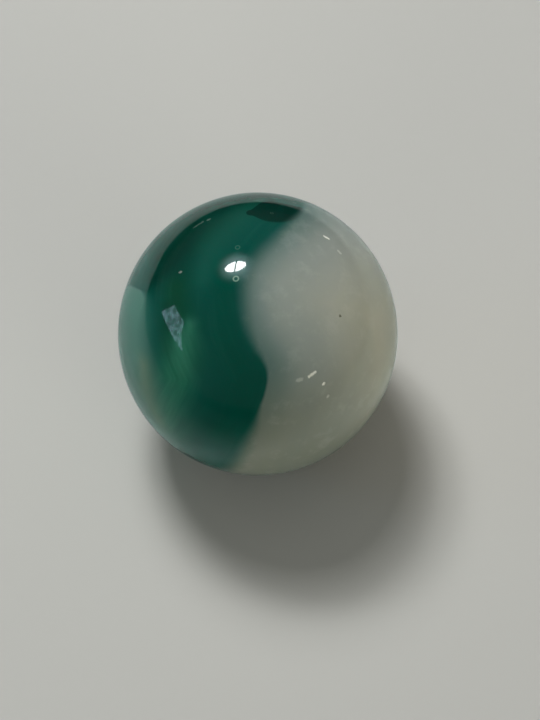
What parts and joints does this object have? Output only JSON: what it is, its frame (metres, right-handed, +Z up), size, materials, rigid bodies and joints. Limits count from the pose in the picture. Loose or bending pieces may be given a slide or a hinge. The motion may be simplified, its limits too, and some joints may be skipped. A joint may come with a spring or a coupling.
{
  "type": "glass marble",
  "caption": "Round toy marble of opaque milk-white glass with a deep green swirl wrapped over one side, glossy and very slightly out of round.",
  "frame": {"origin": "centre of the ball", "axes": "+Z up as the ball lies, +Y along its slightly longer axis, with the green swirl on the -X side facing -Y and up"},
  "size_m": [0.0158, 0.016, 0.0158],
  "materials": {
    "swirl_glass": "polished, opaque white with a green swirl"
  },
  "bodies": {
    "root": {"marble": "swirl_glass"}
  },
  "joints": []
}
